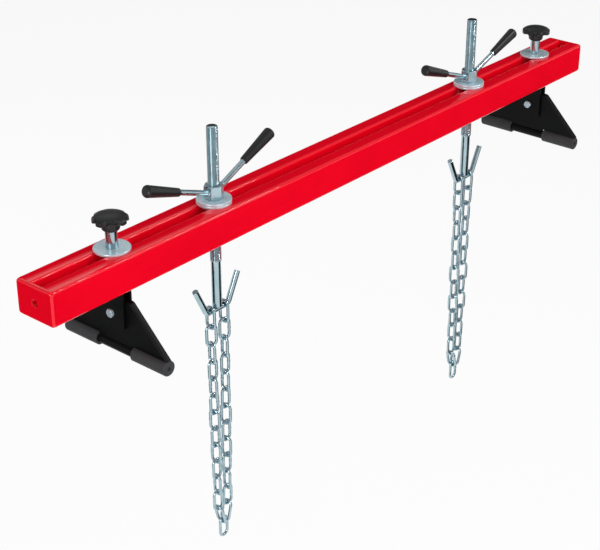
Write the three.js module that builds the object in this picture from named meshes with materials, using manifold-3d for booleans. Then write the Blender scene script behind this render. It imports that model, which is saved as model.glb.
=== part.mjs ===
// Engine support bar: a slotted beam laid across an engine bay on two hinged feet,
// with two screw spindles that lift the engine by chains hung on their double hooks.
// Millimetres. X runs along the beam, Z is up, and Z = 0 is the plane that the feet rest on.
import * as THREE from 'three';
import { mergeVertices } from 'three/addons/utils/BufferGeometryUtils.js';
import Module from 'manifold-3d';

const wasm = await Module();
wasm.setup();

// Gaps and facets
const gap = 0.3;
const overrun = 2;
const mergeDistance = 0.0001;
const fineSides = 28;
const roundSides = 20;
const rodSides = 12;
const cornerSteps = 2;

// Beam: two closed profiles side by side with a slot between them
const beamLength = 1500;
const profileWidth = 30;
const profileHeight = 60;
const profileWall = 2;
const profileCorner = 4;
const slotPlay = 1;
const endPlateThickness = 6;
const endPlateCorner = 6;
const endPlateEdge = 4;
const endHoleDiameter = 12;

// Where the four sets stand: the feet from the beam's ends, the hooks from the feet
const leftFootInset = 160;
const rightFootInset = 125;
const leftHookSpacing = 230;
const rightHookSpacing = 244;

// Flat washers under the knobs and the handle nuts
const washerDiameter = 60;
const washerThickness = 4;
const washerEdge = 0.5;

// Star knob with its clamping stud and spacer sleeve
const knobDiameter = 58;
const knobHeight = 29;
const knobHubHeight = 14.5;
const knobHubDiameter = 29.6;
const knobHubRounding = 5;
const knobLowerEdge = 2;
const knobRimHeight = 5;
const knobDomeSteps = 5;
const knobLobes = 8;
const knobTurn = THREE.MathUtils.degToRad(7.6);
const fluteDiameter = 12;
const fluteDepth = 5;
const studDiameter = 12;
const studInKnob = 20;
const studBelowWeb = 3;
const sleeveDiameter = 20;
const sleeveLength = 28.5;
const guideNutPlay = 1;
const guideNutHeight = 10;

// Foot bracket: an inverted U of flat steel under the beam
const bracketThickness = 4;
const bracketInnerGap = 12;
const bracketLength = 55;
const bracketAbovePivot = 47.7;
const bracketBelowPivot = 24.3;
const bracketCorner = 6;

// Pivot bolt through the bracket and the foot plate
const pivotHeight = 77;
const pivotDiameter = 8;
const pivotHeadWidth = 13;
const pivotHeadThickness = 5.3;
const pivotNutThickness = 6.5;
const pivotBossDiameter = 18;
const pivotSpareThread = 2;

// Foot plate: a folded trapezoid with flanges along its edges
const plateThickness = 3;
const plateSidePlay = 1;
const plateAbovePivot = 27;
const plateTopWidth = 76;
const plateEndWidth = 232;
const plateCorner = 8;

// Cross bar with its two rubber sleeves
const crossBarDiameter = 18;
const rubberWall = 3.7;
const rubberLength = 75;
const rubberEndWall = 4;
const rubberEdge = 1.5;
const rubberDimpleDiameter = 7;
const rubberDimpleDepth = 2.5;
const footLength = 230;

// Spindle: M20 thread above, plain shank below
const threadDiameter = 20;
const threadChamfer = 1.5;
const spindleAboveBeam = 136;
const threadLength = 244;
const shankDiameter = 17.5;

// Handle nut with its two rods and grips
const nutWidth = 30;
const nutHeight = 24;
const nutChamfer = 2;
const handleSlope = THREE.MathUtils.degToRad(20);
const handleRise = 7;
const handleReach = 164;
const steepHandleSlope = THREE.MathUtils.degToRad(25);
const steepHandleReach = 158;
const handleRodDiameter = 10;
const gripLength = 77;
const gripWall = 1.9;
const gripOuterDiameter = 21;
const gripBoreDepth = 65;
const gripEndRadius = 5;
const gripEndSteps = 2;

// Double hook: one round bar bent up on both sides of the spindle
const hookBarPlay = 1.4;
const hookBarDrop = 140.5;
const hookBendHalfWidth = 26.5;
const hookTipHalfWidth = 52.5;
const hookTipRise = 53;
const hookBendRadius = 9;
const hookSteps = 36;

// Chain: long welded links, both ends on the hook and one link at the bottom
const linkWire = 5.7;
const linkPitch = 35;
const linkInnerWidth = 12.4;
const linkSides = 6;
const linkArcSteps = 4;
const linksPerStrand = 13;
const upperLinks = 4;
const middleLinks = 4;
const linkWeld = 0.7;
const firstLinkSlack = 0.55;
const strandTopHalfSpread = 17;
const strandHalfSpread = 12.3;
const strandSpreadLinks = 12;

// How far each link of a strand hangs turned from square to the beam, in degrees from the hook down
const linkTwists = [0, 20, 16, 0, 8, 0, -14, 0, -8, 0, 12, 6, 0];

// Colours and finishes
const redPaint = new THREE.MeshStandardMaterial({ color: 0xe0001c, roughness: 0.18, metalness: 0.1 });
const blackPaint = new THREE.MeshStandardMaterial({ color: 0x17181a, roughness: 0.45, metalness: 0.2 });
const zincPlate = new THREE.MeshStandardMaterial({ color: 0xc3ccd0, roughness: 0.28, metalness: 0.95 });
const blackPlastic = new THREE.MeshStandardMaterial({ color: 0x222427, roughness: 0.42, metalness: 0 });
const blackRubber = new THREE.MeshStandardMaterial({ color: 0x3a3b3e, roughness: 0.8, metalness: 0 });

// Sizes that follow from those above
const leftFootX = leftFootInset - beamLength / 2;
const rightFootX = beamLength / 2 - rightFootInset;
const leftHookX = leftFootX + leftHookSpacing;
const rightHookX = rightFootX - rightHookSpacing;
const slotWidth = threadDiameter + slotPlay;
const beamWidth = 2 * profileWidth + slotWidth;
const webTop = pivotHeight + bracketAbovePivot;
const webBottom = webTop - bracketThickness;
const beamUnderside = webTop + gap;
const beamTop = beamUnderside + profileHeight;
const washerTop = beamTop + gap + washerThickness;
const upperWasherTop = washerTop + gap + washerThickness;
const nutBottom = upperWasherTop + gap;
const sleeveBottom = washerTop + gap;
const knobBottom = sleeveBottom + sleeveLength + gap;
const guideNutWidth = slotWidth - 2 * guideNutPlay;
const bracketWidth = bracketInnerGap + 2 * bracketThickness;
const bracketHeight = bracketAbovePivot + bracketBelowPivot;
const rubberDiameter = crossBarDiameter + 2 * (gap + rubberWall);
const crossBarHeight = rubberDiameter / 2;
const plateDepth = bracketInnerGap - 2 * plateSidePlay;
const plateTopHeight = pivotHeight + plateAbovePivot;
const plateEndHeight = rubberDiameter + gap;
const spindleTop = beamTop + spindleAboveBeam;
const threadEnd = spindleTop - threadLength;
const gripInnerDiameter = handleRodDiameter + 2 * (gap + gripWall);
const hookBarDiameter = linkInnerWidth - hookBarPlay;
const hookBarHeight = beamUnderside - hookBarDrop;
const hookTipHeight = hookBarHeight + hookTipRise;

// A closed three.js geometry as a manifold solid
function solidOf(geometry) {
  const shell = geometry.clone();
  shell.deleteAttribute('normal');
  shell.deleteAttribute('uv');
  const merged = mergeVertices(shell, mergeDistance);
  const vertProperties = Float32Array.from(merged.attributes.position.array);
  const triVerts = Uint32Array.from(merged.index.array);
  return new wasm.Manifold(new wasm.Mesh({ numProp: 3, vertProperties, triVerts }));
}

// A manifold solid as a three.js geometry
function geometryOf(solid) {
  const mesh = solid.getMesh();
  const geometry = new THREE.BufferGeometry();
  geometry.setAttribute('position', new THREE.BufferAttribute(mesh.vertProperties, mesh.numProp));
  geometry.setIndex(new THREE.BufferAttribute(mesh.triVerts, 1));
  geometry.computeVertexNormals();
  return geometry;
}

function piece(name, geometry, material) {
  const mesh = new THREE.Mesh(geometry, material);
  mesh.name = name;
  return mesh;
}

// Rounded rectangle centred on the origin
function roundedRectangle(width, height, radius) {
  const shape = new THREE.Shape();
  const x = width / 2 - radius;
  const y = height / 2 - radius;
  shape.absarc(x, y, radius, 0, Math.PI / 2, false);
  shape.absarc(-x, y, radius, Math.PI / 2, Math.PI, false);
  shape.absarc(-x, -y, radius, Math.PI, 1.5 * Math.PI, false);
  shape.absarc(x, -y, radius, 1.5 * Math.PI, 2 * Math.PI, false);
  return shape;
}

// A shape drawn in Y and Z, extruded along X and centred on X = 0
function extrudedAlongX(shape, depth) {
  const settings = { depth, bevelEnabled: false, curveSegments: cornerSteps };
  const geometry = new THREE.ExtrudeGeometry(shape, settings);
  const turn = new THREE.Matrix4().makeBasis(
    new THREE.Vector3(0, 1, 0),
    new THREE.Vector3(0, 0, 1),
    new THREE.Vector3(1, 0, 0),
  );
  geometry.translate(0, 0, -depth / 2);
  return geometry.applyMatrix4(turn);
}

// A profile of [radius, height] points turned about Z
function turned(points, sides = roundSides) {
  const profile = points.map(([radius, height]) => new THREE.Vector2(radius, height));
  const geometry = new THREE.LatheGeometry(profile, sides);
  return geometry.rotateX(Math.PI / 2);
}

function roundBar(diameter, length, sides = roundSides) {
  const geometry = new THREE.CylinderGeometry(diameter / 2, diameter / 2, length, sides);
  return geometry.rotateX(Math.PI / 2);
}

// Hexagonal prism along Z with two flats facing X, standing on Z = 0
function hexagon(widthAcrossFlats, height) {
  const radius = widthAcrossFlats / Math.sqrt(3);
  const geometry = new THREE.CylinderGeometry(radius, radius, height, 6);
  geometry.rotateX(Math.PI / 2);
  return geometry.translate(0, 0, height / 2);
}

// The barrel that rounds off a hexagon's corners at one end or both
function hexagonChamfer(widthAcrossFlats, height, chamfer) {
  const outer = widthAcrossFlats / Math.sqrt(3) + gap;
  const inner = widthAcrossFlats / 2;
  const top = height - chamfer;
  return turned([[0, 0], [inner, 0], [outer, chamfer], [outer, top], [inner, height], [0, height]]);
}

function flatWasher(boreDiameter) {
  const outer = washerDiameter / 2;
  const bore = boreDiameter / 2 + gap;
  const top = washerThickness;
  const edge = washerEdge;
  return turned([
    [bore, 0],
    [outer - edge, 0],
    [outer, edge],
    [outer, top - edge],
    [outer - edge, top],
    [bore, top],
    [bore, 0],
  ], fineSides);
}

// End plate facing +Z here: flat towards the tubes, rounded round its outer face
function endPlateGeometry() {
  const outline = roundedRectangle(
    beamWidth - 2 * endPlateEdge,
    profileHeight - 2 * endPlateEdge,
    endPlateCorner - endPlateEdge,
  );
  const blank = new THREE.ExtrudeGeometry(outline, {
    depth: endPlateThickness,
    bevelThickness: endPlateEdge,
    bevelSize: endPlateEdge,
    bevelSegments: cornerSteps,
    curveSegments: cornerSteps,
  });
  blank.translate(0, 0, -endPlateThickness / 2 - endPlateEdge);
  const hole = roundBar(endHoleDiameter, endPlateThickness + 2 * overrun, rodSides);
  const plate = solidOf(blank)
    .trimByPlane([0, 0, 1], -endPlateThickness / 2)
    .subtract(solidOf(hole));
  return geometryOf(plate);
}

// Beam
function makeBeam() {
  const group = new THREE.Group();
  group.position.z = beamUnderside + profileHeight / 2;
  const tubeLength = beamLength - 2 * (endPlateThickness + gap);
  const outline = roundedRectangle(profileWidth, profileHeight, profileCorner);
  const hollow = roundedRectangle(
    profileWidth - 2 * profileWall,
    profileHeight - 2 * profileWall,
    profileCorner - profileWall,
  );
  outline.holes.push(hollow);
  for (const [name, side] of [['front_beam_tube', -1], ['back_beam_tube', 1]]) {
    const tube = piece(name, extrudedAlongX(outline, tubeLength), redPaint);
    tube.position.y = side * (slotWidth + profileWidth) / 2;
    group.add(tube);
  }
  for (const [name, side] of [['left_end_plate', -1], ['right_end_plate', 1]]) {
    const geometry = endPlateGeometry();
    geometry.rotateY(side * Math.PI / 2);
    geometry.rotateX(Math.PI / 2);
    const endPlate = piece(name, geometry, redPaint);
    endPlate.position.x = side * (beamLength - endPlateThickness) / 2;
    group.add(endPlate);
  }
  return group;
}

// Star knob: a domed cap on a round hub, with flutes that leave eight lobes round its rim
function starKnobGeometry() {
  const radius = knobDiameter / 2;
  const hub = knobHubDiameter / 2;
  const rimTop = knobHubHeight + knobRimHeight;
  const profile = [
    [0, 0],
    [hub - knobHubRounding, 0],
    [hub, knobHubRounding],
    [hub, knobHubHeight],
    [radius - knobLowerEdge, knobHubHeight],
    [radius, knobHubHeight + knobLowerEdge],
  ];
  for (let step = 0; step < knobDomeSteps; step += 1) {
    const angle = step / knobDomeSteps * Math.PI / 2;
    profile.push([radius * Math.cos(angle), rimTop + (knobHeight - rimTop) * Math.sin(angle)]);
  }
  profile.push([0, knobHeight]);
  let knob = solidOf(turned(profile, fineSides));
  const flute = roundBar(fluteDiameter, 2 * knobHeight, rodSides);
  flute.translate(radius + fluteDiameter / 2 - fluteDepth, 0, knobHubHeight);
  for (let lobe = 0; lobe < knobLobes; lobe += 1) {
    const cutter = flute.clone().rotateZ(knobTurn + (lobe + 0.5) / knobLobes * 2 * Math.PI);
    knob = knob.subtract(solidOf(cutter));
  }
  const bore = roundBar(studDiameter + 2 * gap, studInKnob + gap + overrun, rodSides);
  bore.translate(0, 0, (studInKnob + gap - overrun) / 2);
  return geometryOf(knob.subtract(solidOf(bore)));
}

// Foot bracket: web under the beam, two cheeks with the pivot holes
function footBracketGeometry() {
  const outer = new THREE.BoxGeometry(bracketWidth, bracketLength, bracketHeight);
  outer.translate(0, 0, webTop - bracketHeight / 2);
  const throat = new THREE.BoxGeometry(bracketInnerGap, bracketLength + 2 * overrun, bracketHeight);
  throat.translate(0, 0, webBottom - bracketHeight / 2);
  const cheek = roundedRectangle(bracketLength, bracketHeight + bracketCorner, bracketCorner);
  const trim = extrudedAlongX(cheek, bracketWidth + 2 * overrun);
  trim.translate(0, 0, webTop - bracketHeight / 2 + bracketCorner / 2);
  const studHole = roundBar(studDiameter + 2 * gap, bracketThickness + 2 * overrun, rodSides);
  studHole.translate(0, 0, webTop - bracketThickness / 2);
  const pivotHole = roundBar(pivotDiameter + 2 * gap, bracketWidth + 2 * overrun, rodSides);
  pivotHole.rotateY(Math.PI / 2);
  pivotHole.translate(0, 0, pivotHeight);
  const bracket = solidOf(outer)
    .subtract(solidOf(throat))
    .intersect(solidOf(trim))
    .subtract(solidOf(studHole))
    .subtract(solidOf(pivotHole));
  return geometryOf(bracket);
}

// The foot plate's outline in Y and Z, drawn in by an inset and carried down below its lower edge
function footPlateOutline(inset, drop) {
  const run = (plateEndWidth - plateTopWidth) / 2;
  const rise = plateTopHeight - plateEndHeight;
  const slopeLength = Math.hypot(run, rise);
  const slopeInset = inset * slopeLength / rise;
  const corner = plateCorner - inset;
  const top = plateTopHeight - inset;
  const topHalf = plateTopWidth / 2 - slopeInset + inset * run / rise;
  const endHalf = plateEndWidth / 2 - slopeInset + drop * run / rise;
  const bottom = plateEndHeight - drop;
  const angle = Math.atan2(rise, run);
  const tangent = corner * Math.tan(angle / 2);
  const centreY = topHalf - tangent;
  const shape = new THREE.Shape();
  shape.absarc(centreY, top - corner, corner, Math.PI / 2 - angle, Math.PI / 2, false);
  shape.absarc(-centreY, top - corner, corner, Math.PI / 2, Math.PI / 2 + angle, false);
  shape.lineTo(-endHalf, bottom);
  shape.lineTo(endHalf, bottom);
  return shape;
}

// Foot plate: folded front sheet with flanges, a foot that meets the cross bar and a pivot boss
function footPlateGeometry() {
  const body = solidOf(extrudedAlongX(footPlateOutline(0, 0), plateDepth));
  const pocket = extrudedAlongX(footPlateOutline(plateThickness, overrun), plateDepth);
  pocket.translate(plateThickness, 0, 0);
  const lowerEdge = crossBarHeight + crossBarDiameter / 2 + gap;
  const footWidth = footLength - 2 * rubberLength - 2 * overrun;
  const footHeight = plateEndHeight - lowerEdge + overrun;
  const foot = new THREE.BoxGeometry(plateThickness, footWidth, footHeight);
  foot.translate((plateThickness - plateDepth) / 2, 0, lowerEdge + footHeight / 2);
  const boss = roundBar(pivotBossDiameter, plateDepth);
  boss.rotateY(Math.PI / 2);
  boss.translate(0, 0, pivotHeight);
  const bore = roundBar(pivotDiameter + 2 * gap, plateDepth + 2 * overrun, rodSides);
  bore.rotateY(Math.PI / 2);
  bore.translate(0, 0, pivotHeight);
  const plate = body
    .subtract(solidOf(pocket))
    .add(solidOf(foot))
    .add(solidOf(boss))
    .subtract(solidOf(bore));
  return geometryOf(plate);
}

// Rubber sleeve: a blind cap over the end of the cross bar, its closed end towards +Z here
function rubberSleeveGeometry() {
  const outer = rubberDiameter / 2;
  const bore = crossBarDiameter / 2 + gap;
  const dimple = rubberDimpleDiameter / 2;
  const boreDepth = rubberLength - rubberEndWall;
  return turned([
    [0, boreDepth],
    [bore, boreDepth],
    [bore, 0],
    [outer - rubberEdge, 0],
    [outer, rubberEdge],
    [outer, rubberLength - rubberEdge],
    [outer - rubberEdge, rubberLength],
    [dimple, rubberLength],
    [dimple, rubberLength - rubberDimpleDepth],
    [0, rubberLength - rubberDimpleDepth],
  ]);
}

// Hex bolt along +X, its head's underside at X = 0
function pivotBoltGeometry(shankLength) {
  const head = hexagon(pivotHeadWidth, pivotHeadThickness);
  head.rotateZ(Math.PI / 6);
  head.translate(0, 0, -pivotHeadThickness);
  const shank = roundBar(pivotDiameter, shankLength + pivotHeadThickness / 2, rodSides);
  shank.translate(0, 0, (shankLength - pivotHeadThickness / 2) / 2);
  return geometryOf(solidOf(head).add(solidOf(shank))).rotateY(Math.PI / 2);
}

function hexNutGeometry(width, height, boreDiameter) {
  const bore = roundBar(boreDiameter + 2 * gap, height + 2 * overrun, rodSides);
  bore.translate(0, 0, height / 2);
  const nut = solidOf(hexagon(width, height)).subtract(solidOf(bore));
  return geometryOf(nut);
}

// One foot set: knob, stud, sleeve and washer above the beam; bracket and tilting foot below
function makeFoot(side, x) {
  const group = new THREE.Group();
  group.position.x = x;

  const knob = piece(`${side}_star_knob`, starKnobGeometry(), blackPlastic);
  knob.position.z = knobBottom;

  const studTop = knobBottom + studInKnob;
  const studBottom = webBottom - studBelowWeb;
  const stud = piece(`${side}_clamp_stud`, roundBar(studDiameter, studTop - studBottom, rodSides), zincPlate);
  stud.position.z = (studTop + studBottom) / 2;

  const outer = sleeveDiameter / 2;
  const bore = studDiameter / 2 + gap;
  const sleeveProfile = [[bore, 0], [outer, 0], [outer, sleeveLength], [bore, sleeveLength], [bore, 0]];
  const sleeve = piece(`${side}_spacer_sleeve`, turned(sleeveProfile), zincPlate);
  sleeve.position.z = sleeveBottom;

  const washer = piece(`${side}_foot_washer`, flatWasher(studDiameter), zincPlate);
  washer.position.z = beamTop + gap;

  const guideNut = piece(
    `${side}_guide_nut`,
    hexNutGeometry(guideNutWidth, guideNutHeight, studDiameter).rotateZ(Math.PI / 2),
    zincPlate,
  );
  guideNut.position.z = webTop + gap;

  const bracket = piece(`${side}_foot_bracket`, footBracketGeometry(), blackPaint);

  const headX = -bracketWidth / 2 - gap;
  const nutX = bracketWidth / 2 + gap;
  const shankLength = nutX - headX + pivotNutThickness + pivotSpareThread;
  const pivotBolt = piece(`${side}_pivot_bolt`, pivotBoltGeometry(shankLength), zincPlate);
  pivotBolt.position.set(headX, 0, pivotHeight);

  const pivotNut = piece(
    `${side}_pivot_nut`,
    hexNutGeometry(pivotHeadWidth, pivotNutThickness, pivotDiameter).rotateY(Math.PI / 2),
    zincPlate,
  );
  pivotNut.position.set(nutX, 0, pivotHeight);

  const footPlate = piece(`${side}_foot_plate`, footPlateGeometry(), blackPaint);

  const crossBarLength = footLength - 2 * (rubberEndWall + gap);
  const crossBar = piece(`${side}_cross_bar`, roundBar(crossBarDiameter, crossBarLength), blackPaint);
  crossBar.rotation.x = Math.PI / 2;
  crossBar.position.z = crossBarHeight;

  group.add(knob, stud, sleeve, washer, guideNut, bracket, pivotBolt, pivotNut, footPlate, crossBar);
  for (const [end, direction] of [['front', -1], ['back', 1]]) {
    const rubber = piece(`${side}_${end}_rubber_sleeve`, rubberSleeveGeometry(), blackRubber);
    rubber.rotation.x = -direction * Math.PI / 2;
    rubber.position.set(0, direction * (footLength / 2 - rubberLength), crossBarHeight);
    group.add(rubber);
  }
  return group;
}

// Spindle: threaded above, plain below, ending on the hook bar
function spindleGeometry() {
  const thread = threadDiameter / 2;
  const shank = shankDiameter / 2;
  const bottom = hookBarHeight + hookBarDiameter / 2 + gap;
  return turned([
    [0, bottom],
    [shank, bottom],
    [shank, threadEnd - threadChamfer],
    [thread, threadEnd],
    [thread, spindleTop - threadChamfer],
    [thread - threadChamfer, spindleTop],
    [0, spindleTop],
  ]);
}

// Double hook: the bar's centre line drawn in X and Z
class HookLine extends THREE.Curve {
  constructor() {
    super();
    const angle = Math.atan2(hookTipRise, hookTipHalfWidth - hookBendHalfWidth);
    const tangent = hookBendRadius * Math.tan(angle / 2);
    const centreX = hookBendHalfWidth - tangent;
    const centreZ = hookBarHeight + hookBendRadius;
    this.path = new THREE.Path();
    this.path.moveTo(-hookTipHalfWidth, hookTipHeight);
    this.path.lineTo(
      -centreX - hookBendRadius * Math.sin(angle),
      centreZ - hookBendRadius * Math.cos(angle),
    );
    this.path.absarc(-centreX, centreZ, hookBendRadius, 1.5 * Math.PI - angle, 1.5 * Math.PI, false);
    this.path.absarc(centreX, centreZ, hookBendRadius, 1.5 * Math.PI, 1.5 * Math.PI + angle, false);
    this.path.lineTo(hookTipHalfWidth, hookTipHeight);
  }

  getPoint(t, target = new THREE.Vector3()) {
    const point = this.path.getPoint(t);
    return target.set(point.x, 0, point.y);
  }
}

function doubleHookGeometry() {
  const section = new THREE.Shape();
  section.absarc(0, 0, hookBarDiameter / 2, 0, 2 * Math.PI, false);
  return new THREE.ExtrudeGeometry(section, {
    extrudePath: new HookLine(),
    steps: hookSteps,
    curveSegments: rodSides / 2,
  });
}

// Handle nut: a tall hexagon that runs on the thread
function handleNutGeometry() {
  const bore = roundBar(threadDiameter + 2 * gap, nutHeight + 2 * overrun);
  bore.translate(0, 0, nutHeight / 2);
  const nut = solidOf(hexagon(nutWidth, nutHeight))
    .intersect(solidOf(hexagonChamfer(nutWidth, nutHeight, nutChamfer)))
    .subtract(solidOf(bore));
  return geometryOf(nut);
}

// Handle rod along its sloping line, cut off where it is welded to the nut's flat
function handleRodGeometry(slope, reach) {
  const end = reach - gripLength + gripBoreDepth - gap;
  const rod = roundBar(handleRodDiameter, end, rodSides);
  rod.translate(0, 0, end / 2);
  rod.rotateY(Math.PI / 2 - slope);
  const nut = hexagon(nutWidth + 2 * gap, 2 * nutHeight);
  nut.translate(0, 0, -nutHeight);
  return geometryOf(solidOf(rod).subtract(solidOf(nut)));
}

// Grip: a cone with a rounded outer end and a blind bore for the rod, along +Z here
function gripGeometry() {
  const inner = gripInnerDiameter / 2;
  const outer = gripOuterDiameter / 2;
  const bore = handleRodDiameter / 2 + gap;
  const profile = [[0, gripBoreDepth], [bore, gripBoreDepth], [bore, 0], [inner, 0]];
  for (let step = 0; step <= gripEndSteps; step += 1) {
    const angle = step / gripEndSteps * Math.PI / 2;
    profile.push([
      outer - gripEndRadius * (1 - Math.cos(angle)),
      gripLength - gripEndRadius * (1 - Math.sin(angle)),
    ]);
  }
  profile.push([0, gripLength]);
  return turned(profile);
}

// One hook set: washers, handle nut and spindle with its double hook
function makeHook(side, x) {
  const group = new THREE.Group();
  group.position.x = x;

  const lowerWasher = piece(`${side}_lower_washer`, flatWasher(threadDiameter), zincPlate);
  lowerWasher.position.z = beamTop + gap;
  const upperWasher = piece(`${side}_upper_washer`, flatWasher(threadDiameter), zincPlate);
  upperWasher.position.z = washerTop + gap;

  const nut = piece(`${side}_handle_nut`, handleNutGeometry(), zincPlate);
  nut.position.z = nutBottom;
  group.add(lowerWasher, upperWasher, nut);

  for (const [end, turn] of [['inner', 0], ['outer', Math.PI]]) {
    const handle = new THREE.Group();
    handle.position.z = nutBottom + handleRise;
    handle.rotation.z = side === 'left' ? turn : turn + Math.PI;
    const steep = side === 'left' && end === 'inner';
    const slope = steep ? steepHandleSlope : handleSlope;
    const reach = steep ? steepHandleReach : handleReach;
    const gripStart = reach - gripLength;
    const rod = piece(`${side}_${end}_handle_rod`, handleRodGeometry(slope, reach), zincPlate);
    const grip = piece(`${side}_${end}_grip`, gripGeometry(), blackPlastic);
    grip.rotation.y = Math.PI / 2 - slope;
    grip.position.set(gripStart * Math.cos(slope), 0, gripStart * Math.sin(slope));
    handle.add(rod, grip);
    group.add(handle);
  }

  const spindle = piece(`${side}_spindle`, spindleGeometry(), zincPlate);
  const hook = piece(`${side}_double_hook`, doubleHookGeometry(), zincPlate);
  group.add(spindle, hook);
  return group;
}

// One chain link: a round wire swept round an oval in X and Z, centred on the origin
function linkGeometry(innerLength) {
  const wire = linkWire / 2;
  const bend = linkInnerWidth / 2 + wire;
  const straight = (innerLength + linkWire) / 2 - bend;
  const positions = [];
  const stations = 2 * (linkArcSteps + 1);
  for (let station = 0; station < stations; station += 1) {
    const upper = station <= linkArcSteps;
    const step = upper ? station : station - linkArcSteps - 1;
    const along = step / linkArcSteps * Math.PI + (upper ? 0 : Math.PI);
    const centreZ = upper ? straight : -straight;
    for (let side = 0; side < linkSides; side += 1) {
      const around = side / linkSides * 2 * Math.PI;
      const radius = bend + wire * Math.cos(around);
      positions.push(
        radius * Math.cos(along),
        wire * Math.sin(around),
        centreZ + radius * Math.sin(along),
      );
    }
  }
  const index = [];
  for (let station = 0; station < stations; station += 1) {
    const next = (station + 1) % stations;
    for (let side = 0; side < linkSides; side += 1) {
      const other = (side + 1) % linkSides;
      const here = station * linkSides;
      const there = next * linkSides;
      index.push(here + side, there + other, there + side);
      index.push(here + side, here + other, there + other);
    }
  }
  const geometry = new THREE.BufferGeometry();
  geometry.setAttribute('position', new THREE.Float32BufferAttribute(positions, 3));
  geometry.setIndex(index);
  return geometry;
}

// Half the spread at which the two last links' wires lie side by side in the bottom link
function lastHalfSpread() {
  const leanShare = (linkWire + gap) / 2 / linkPitch;
  return ((linkWire + gap) / 2 + strandHalfSpread * leanShare) / (1 + leanShare);
}

// The points where one strand's links hang in each other, from the hook bar to the bottom link
function strandPoints() {
  const points = [];
  let z = hookBarHeight + hookBarDiameter / 2;
  let x = strandTopHalfSpread;
  points.push(new THREE.Vector2(x, z));
  for (let link = 1; link <= linksPerStrand; link += 1) {
    const share = Math.min(link / strandSpreadLinks, 1);
    let nextX = THREE.MathUtils.lerp(strandTopHalfSpread, strandHalfSpread, share);
    if (link === linksPerStrand) nextX = lastHalfSpread();
    z -= Math.sqrt(linkPitch ** 2 - (nextX - x) ** 2);
    x = nextX;
    points.push(new THREE.Vector2(x, z));
  }
  return points;
}

// Links first to last of a strand as one solid, welded to each other and clear at both ends
function strandGeometry(first, last, direction) {
  const points = strandPoints();
  let strand = null;
  for (let link = first; link <= last; link += 1) {
    const upper = points[link - 1];
    const lower = points[link];
    const endSlack = link === 1 ? firstLinkSlack : gap / 2;
    const topSlack = link === first ? endSlack : -linkWeld / 2;
    const bottomSlack = link === last ? gap / 2 : -linkWeld / 2;
    const lean = Math.atan2(upper.x - lower.x, upper.y - lower.y);
    const geometry = linkGeometry(upper.distanceTo(lower) + topSlack + bottomSlack);
    geometry.translate(0, 0, (topSlack - bottomSlack) / 2);
    const twist = THREE.MathUtils.degToRad(linkTwists[(link - 1) % linkTwists.length]);
    geometry.rotateZ((link % 2) * Math.PI / 2 - twist);
    geometry.rotateY(direction * lean);
    const middle = upper.clone().add(lower).multiplyScalar(0.5);
    geometry.translate(direction * middle.x, 0, middle.y);
    const solid = solidOf(geometry);
    strand = strand ? strand.add(solid) : solid;
  }
  return geometryOf(strand);
}

// One chain: two strands in three stretches each, and the bottom link that joins them
function makeChain(side, x) {
  const group = new THREE.Group();
  group.position.x = x;
  const lowerStart = upperLinks + middleLinks + 1;
  const stretches = [
    ['upper', 1, upperLinks],
    ['middle', upperLinks + 1, upperLinks + middleLinks],
    ['lower', lowerStart, linksPerStrand],
  ];
  for (const [stretch, first, last] of stretches) {
    for (const [end, direction] of [['inner', 1], ['outer', -1]]) {
      const name = `${side}_chain_${stretch}_${end}`;
      const sign = side === 'left' ? direction : -direction;
      group.add(piece(name, strandGeometry(first, last, sign), zincPlate));
    }
  }
  const bottomLink = piece(`${side}_chain_bottom_link`, linkGeometry(linkPitch), zincPlate);
  const [above, last] = strandPoints().slice(-2);
  const leanCosine = (above.y - last.y) / above.distanceTo(last);
  const arcCentre = (linkPitch - linkInnerWidth) / 2;
  bottomLink.position.z = last.y - (linkWire + gap) / 2 * leanCosine - arcCentre;
  group.add(bottomLink);
  return group;
}

const group = new THREE.Group();
group.add(makeBeam());
group.add(makeFoot('left', leftFootX));
group.add(makeFoot('right', rightFootX));
group.add(makeHook('left', leftHookX));
group.add(makeHook('right', rightHookX));
group.add(makeChain('left', leftHookX));
group.add(makeChain('right', rightHookX));

export default group;
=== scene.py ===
# Engine support bar: a slotted red beam on two tilting feet, with two screw spindles
# that lift an engine by chains hung on double hooks. Metres, +Z up, beam along X.
import math

import bmesh
import bpy
from mathutils import Euler, Matrix, Vector


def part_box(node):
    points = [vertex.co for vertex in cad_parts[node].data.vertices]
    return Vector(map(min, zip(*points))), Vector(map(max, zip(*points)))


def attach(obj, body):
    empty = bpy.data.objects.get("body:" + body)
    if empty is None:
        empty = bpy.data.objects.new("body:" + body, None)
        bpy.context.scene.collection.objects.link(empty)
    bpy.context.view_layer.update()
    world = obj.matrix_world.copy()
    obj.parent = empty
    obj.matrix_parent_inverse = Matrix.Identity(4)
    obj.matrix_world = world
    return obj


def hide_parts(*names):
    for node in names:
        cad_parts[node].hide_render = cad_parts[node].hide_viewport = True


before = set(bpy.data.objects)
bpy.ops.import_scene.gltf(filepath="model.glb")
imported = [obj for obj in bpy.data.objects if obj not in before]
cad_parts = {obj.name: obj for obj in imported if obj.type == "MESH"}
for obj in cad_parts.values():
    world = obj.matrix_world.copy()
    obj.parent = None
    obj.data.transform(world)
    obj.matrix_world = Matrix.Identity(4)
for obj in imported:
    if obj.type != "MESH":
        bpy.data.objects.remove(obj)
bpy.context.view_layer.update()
MM = 0.001


# Photo studio. A pale floor as far below the beam as an engine bay's edges are above a
# workshop floor, a white backdrop, and softboxes in front, on the left, above and behind.
def linear(colour_hex, alpha=1.0):
    """An sRGB hex colour as linear RGBA."""
    channels = [int(colour_hex[i:i + 2], 16) / 255 for i in (1, 3, 5)]
    return [c / 12.92 if c <= 0.04045 else ((c + 0.055) / 1.055) ** 2.4 for c in channels] + [alpha]


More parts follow.
